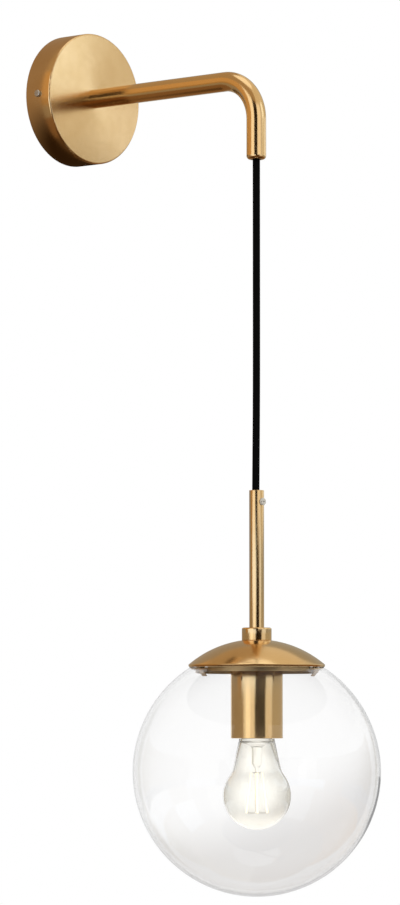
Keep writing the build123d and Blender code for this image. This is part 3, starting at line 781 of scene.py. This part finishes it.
hanging = cord(
    "hanging_cord",
    [
        (0, -0.208, -0.067), (0, -0.208, -0.085), (0, -0.208, -0.140), (0, -0.208, -0.201),
        (0, -0.2079, -0.262), (0, -0.2073, -0.318), (0, -0.2071, -0.336),
    ],
    "cord", "pendant_cord",
)
cord(
    "cord_in_arm",
    [
        (0, -0.006, 0), (0, -0.05, 0), (0, -0.11, 0), (0, -0.165, 0), (0, -0.186, -0.001),
        (0, -0.207, -0.022), (0, -0.208, -0.043), (0, -0.208, -0.0636),
    ],
    "wall_unit", "arm_cord",
)
cord(
    "cord_in_stem", [(0, -0.208, -0.3394), (0, -0.208, -0.38), (0, -0.208, -0.45), (0, -0.208, -0.494)],
    "pendant", "stem_cord",
)


# Camera

toward_camera = Vector((-0.7416, -0.6709, 0))
image_right = Vector((0.6709, -0.7416, 0))
camera_rise = radians(3.439)
camera_data = bpy.data.cameras.new("camera")
camera_data.lens = 171.05
camera_data.sensor_width = 36
camera = bpy.data.objects.new("camera", camera_data)
bpy.context.collection.objects.link(camera)
camera.location = (-2.6063, -2.5041, -0.5141)
sight = -toward_camera * cos(camera_rise) + Vector((0, 0, sin(camera_rise)))
camera.rotation_euler = sight.to_track_quat("-Z", "Y").to_euler()
bpy.context.scene.camera = camera


# Cards that the metal and the glass show

pendant_place = Vector((0, -arm_reach / 1000, 0))
card_distance = 2.2
near_distance = 2.15
card_steps = 24
plain_white = (1, 1, 1)

# Limits on the path of a ray: three faces of glass crossed at most, and no mirror met
faces_crossed = 3.5
mirrors_met = 0.5


def path(tree, kind):
    """What is known of the ray that looks."""
    return tree.add("ShaderNodeLightPath", output=kind)


def looked_at(tree):
    """One for the eye and for what metal and glass show, nothing for the light on other things."""
    kinds = "Camera", "Glossy", "Transmission"
    eye, in_metal, in_glass = (path(tree, f"Is {kind} Ray") for kind in kinds)
    return tree.maths("MAXIMUM", tree.maths("MAXIMUM", eye, in_metal), in_glass)


def shining(name, colour, strength, in_glass, through):
    """Lit card that metal shows in its own colour and polished glass as a plain grey.

    Looked at straight through the glass, it is only seen where that is asked for.
    """
    material, tree = blank(name)
    outside = tree.maths("LESS_THAN", path(tree, "Transmission Depth"), faces_crossed)
    sharp = path(tree, "Is Singular Ray") * outside
    lit = mixed(tree, sharp, shine(tree, colour, strength), shine(tree, plain_white, in_glass))
    if not through:
        straight = tree.maths("LESS_THAN", path(tree, "Glossy Depth"), mirrors_met)
        lit = mixed(tree, straight, lit, tree.add("ShaderNodeBsdfTransparent"))
    close(tree, lit)
    return material


def hung(name, shape, colour, strength, in_glass, behind, through=False):
    """Lit card of a shape, which only mirrors and glass show; one that is behind isn't seen through glass."""
    bmesh.ops.translate(shape, vec=pendant_place, verts=shape.verts)
    thing = made(name, shape, shining(name, colour, strength, in_glass, through))
    hidden(thing, "camera", "diffuse", "shadow")
    thing.visible_transmission = not behind


def swung_edge(start, end, inner, outer):
    """Edge between two points, as distance from the pendant and height, swung between two directions."""
    shape = bmesh.new()
    first = toward_camera * cos(radians(start)) + image_right * sin(radians(start))
    ends = [shape.verts.new((first.x * away, first.y * away, height)) for away, height in (inner, outer)]
    shape.edges.new(ends)
    bmesh.ops.spin(
        shape, geom=shape.verts[:] + shape.edges[:], cent=(0, 0, 0), axis=(0, 0, 1),
        angle=radians(end - start), steps=card_steps,
    )
    return shape


def card(name, start, end, low, high, colour, strength, in_glass=0.8, behind=False, through=False):
    """Upright curved card round the pendant, between two directions off the camera's."""
    away = near_distance if through else card_distance
    shape = swung_edge(start, end, (away, low), (away, high))
    hung(name, shape, colour, strength, in_glass, behind, through)


def level_card(name, start, end, height, colour, strength, in_glass, behind, inner=0.0, outer=card_distance):
    """Level card above or below the lamp, between two directions off the camera's."""
    shape = swung_edge(start, end, (inner, height), (outer, height))
    hung(name, shape, colour, strength, in_glass, behind)


def painted_shade_rim_card():
    """Dim ring just behind the canopy's left edge, which only its rim shows: painted shade in the rim's
    reflection, darker towards its lower end.
    """
    start = radians(100)
    sweep = radians(240)
    sweep_steps = 54
    behind_wall = 0.004
    edges_away = 0.054, 0.084
    dark_height = -0.062
    light_height = 0.004
    shape = bmesh.new()
    ends = [shape.verts.new((-cos(start) * away, behind_wall, sin(start) * away)) for away in edges_away]
    shape.edges.new(ends)
    bmesh.ops.spin(
        shape, geom=shape.verts[:] + shape.edges[:], cent=(0, 0, 0), axis=(0, 1, 0), angle=-sweep,
        steps=sweep_steps,
    )
    material, tree = blank("painted_shade_rim_card")
    painted_shade_fade = eased(tree, height_on(tree), dark_height, light_height)
    # Painted shade: nearly dark at the lower end, a dim amber at the upper end
    close(tree, mixed(tree, painted_shade_fade, shine(tree, (1.0, 0.5, 0.2), 0.03), shine(tree, (1.0, 0.69, 0.42), 0.38)))
    thing = made("painted_shade_rim_card", shape, material)
    hidden(thing, "camera", "diffuse", "transmission", "shadow")


def painted_shade_backdrop():
    """Sheet behind the globe that only glass shows, with painted shade that makes it a little darker towards
    its lower right.
    """
    half_width = 0.45
    distance = 2.0
    fade_start = 0.05
    fade_end = 0.175
    shape = bmesh.new()
    bmesh.ops.create_grid(shape, x_segments=4, y_segments=4, size=half_width)
    turn = Matrix((image_right, (0, 0, 1), toward_camera)).transposed().to_4x4()
    middle = pendant_place + Vector((0, 0, -0.56)) - distance * toward_camera
    bmesh.ops.transform(shape, matrix=Matrix.Translation(middle) @ turn, verts=shape.verts)
    material, tree = blank("painted_shade_backdrop")
    along = image_right * 0.35 + Vector((0, 0, -0.94))
    across = tree.add(
        "ShaderNodeVectorMath", {"operation": "DOT_PRODUCT"}, {0: spot(tree), 1: along}, "Value"
    )
    centre = along.dot(middle)
    painted_shade_fade = eased(tree, across, centre + fade_start, centre + fade_end)
    # Painted shade: white at its edges, a pale grey towards the lower right, which the globe is seen against
    close(tree, mixed(tree, painted_shade_fade, shine(tree, plain_white, 1.0), shine(tree, (0.79, 0.78, 0.775), 1.0)))
    thing = made("painted_shade_backdrop", shape, material)
    hidden(thing, "camera", "diffuse", "glossy", "shadow")


# Heights of the cards' edges, and of the level cards
foot = -2.0
stem_low = -0.32
stem_high = -0.05
head = 1.5
shade_low = -0.15
shade_high = 0.33
arm_height = 0.05
rim_foot = -0.99
rim_middle = -0.62
rim_head = 0.1
under_head = 1.49
lower_level = -0.96

# Colours of several cards
daylight = (1.0, 0.97, 0.92)
amber = (1.0, 0.62, 0.27)
olive = (1.0, 0.92, 0.74)
ember = (1.0, 0.55, 0.24)

card("left_glow_side", -62, -51, foot, stem_low, daylight, 1.0, 1.0)
card("left_glow_low", -51, -30, foot, stem_low, (1.0, 0.99, 0.97), 1.55, 1.0)
card("left_glow_near", -30, -10, foot, stem_low, daylight, 1.1, 1.0)
card("left_glow_stem", -72, -6, stem_low, stem_high, (0.72, 0.82, 1.0), 1.9, 1.0)
card("left_glow_high", -62, -26, stem_high, head, daylight, 1.35, 1.0)
card("dark_low", -10, 37, foot, stem_low, amber, 0.02, 0.2)
card("dark_stem", -6, 41, stem_low, stem_high, amber, 0.03, 0.2)
card("dark_high", -26, 12, stem_high, head, amber, 0.03, 0.2)
card("right_glow_low", 37, 70, foot, stem_low, daylight, 0.95, 1.0)
card("right_glow_stem", 41, 74, stem_low, stem_high, (0.78, 0.86, 1.0), 1.3, 1.0)
card("right_glow_high", 12, 52, stem_high, head, daylight, 1.25, 1.0)
card("right_mid", 52, 70, stem_high, head, daylight, 0.75, 0.9)
card("right_shade", 70, 150, foot, stem_low, olive, 0.52)
card("right_shade_stem", 74, 150, stem_low, shade_low, (0.9, 0.95, 1.0), 0.42)
card("right_near_low", 74, 99, shade_low, shade_high, olive, 0.75)
card("right_near_high", 70, 99, shade_high, head, (0.86, 0.94, 1.0), 1.6, 0.9)
card("right_far_low", 99, 150, shade_low, shade_high, (0.94, 0.97, 1.0), 1.2, 0.9)
card("right_far_high", 99, 150, shade_high, head, olive, 0.75)
card("left_shade_low", -150, -62, foot, stem_low, (1.0, 0.82, 0.58), 0.38)
card("left_shade_stem", -150, -96, stem_low, arm_height, (0.97, 0.97, 1.0), 0.34)
card("left_shade_mid", -96, -72, stem_low, arm_height, (1.0, 0.6, 0.22), 0.5)
card("left_shade_high", -150, -62, arm_height, head, amber, 0.7)
card("right_rim_low", 155, 168, rim_foot, rim_middle, olive, 0.35, 0.35, through=True)
card("right_rim_high", 155, 168, rim_middle, rim_head, olive, 0.42, 0.75, through=True)
card("right_back_shade", 150, 180, foot, head, olive, 0.42, behind=True)
card("left_back_shade", -180, -150, foot, head, (1.0, 0.85, 0.65), 0.4, behind=True)
level_card("upper_middle", -180, 180, under_head, daylight, 1.35, 0.2, False, 0.0, 0.6)
level_card("upper_left", -185, 20, head, (1.0, 0.72, 0.42), 0.5, 0.08, False)
level_card("upper_right", 20, 175, head, (1.0, 0.88, 0.68), 0.85, 0.2, False)
level_card("lower_middle", -180, 180, lower_level, ember, 0.08, 0.5, True, 0.0, 0.5)
level_card("lower_ring", -180, 180, lower_level, ember, 0.1, 0.62, True, 0.5, 1.0)
level_card("lower_edge", -180, 180, lower_level, ember, 0.26, 0.72, True, 1.0)
painted_shade_rim_card()


# Floor and light


def floor():
    """Pale floor under the lamp, which keeps its shadow; from below it isn't seen."""
    middle = Vector((0, -0.2, -1.0))
    floor_radius = 3.5
    fade_start = 0.6
    fade_end = 3.2
    shape = bmesh.new()
    bmesh.ops.create_circle(shape, cap_ends=True, segments=middle_steps, radius=floor_radius)
    bmesh.ops.translate(shape, vec=middle, verts=shape.verts)
    material, tree = blank("pale_floor")
    colour = blended(tree, grain(tree, 4.0), (0.82, 0.81, 0.80), (0.79, 0.78, 0.77))
    matt_floor = tree.add("ShaderNodeBsdfPrincipled", {}, {"Base Color": colour, "Roughness": 0.8})
    from_middle = tree.add("ShaderNodeMapping", {}, {"Vector": spot(tree), "Location": -middle})
    away = tree.add("ShaderNodeVectorMath", {"operation": "LENGTH"}, {0: from_middle}, "Value")
    far = eased(tree, away, fade_start, fade_end) * looked_at(tree)
    pale = mixed(tree, far, matt_floor, shine(tree, plain_white, 1.0))
    below = tree.add("ShaderNodeNewGeometry", output="Backfacing")
    close(tree, mixed(tree, below, pale, tree.add("ShaderNodeBsdfTransparent")))
    thing = made("floor", shape, material)


def softbox(name, place, aim, size, power):
    """Soft square lamp that the camera doesn't see."""
    data = bpy.data.lights.new(name, "AREA")
    data.energy = power
    data.size = size
    thing = bpy.data.objects.new(name, data)
    bpy.context.collection.objects.link(thing)
    thing.location = place
    thing.rotation_euler = (Vector(aim) - Vector(place)).to_track_quat("-Z", "Y").to_euler()
    hidden(thing, "camera", "glossy", "transmission")


floor()
painted_shade_backdrop()
softbox("key_lamp", (-2.2, -2.0, 1.4), (0, -0.15, -0.3), 1.6, 45.0)
softbox("fill_lamp", (1.8, -2.2, 0.6), (0, -0.15, -0.3), 1.6, 25.0)
softbox("back_lamp", (0.6, 2.2, 0.8), (0, -0.1, -0.3), 1.6, 25.0)

sky_light = 0.55
world = bpy.data.worlds.new("studio")
bpy.context.scene.world = world
world.use_nodes = True
world.node_tree.nodes.clear()
sky = Socket(world.node_tree)
strength = sky_light + (1 - sky_light) * looked_at(sky)
white = sky.add("ShaderNodeBackground", {}, {"Color": (1, 1, 1, 1), "Strength": strength})
sky.add("ShaderNodeOutputWorld", {}, {"Surface": white})

bpy.context.scene.view_settings.view_transform = "Standard"
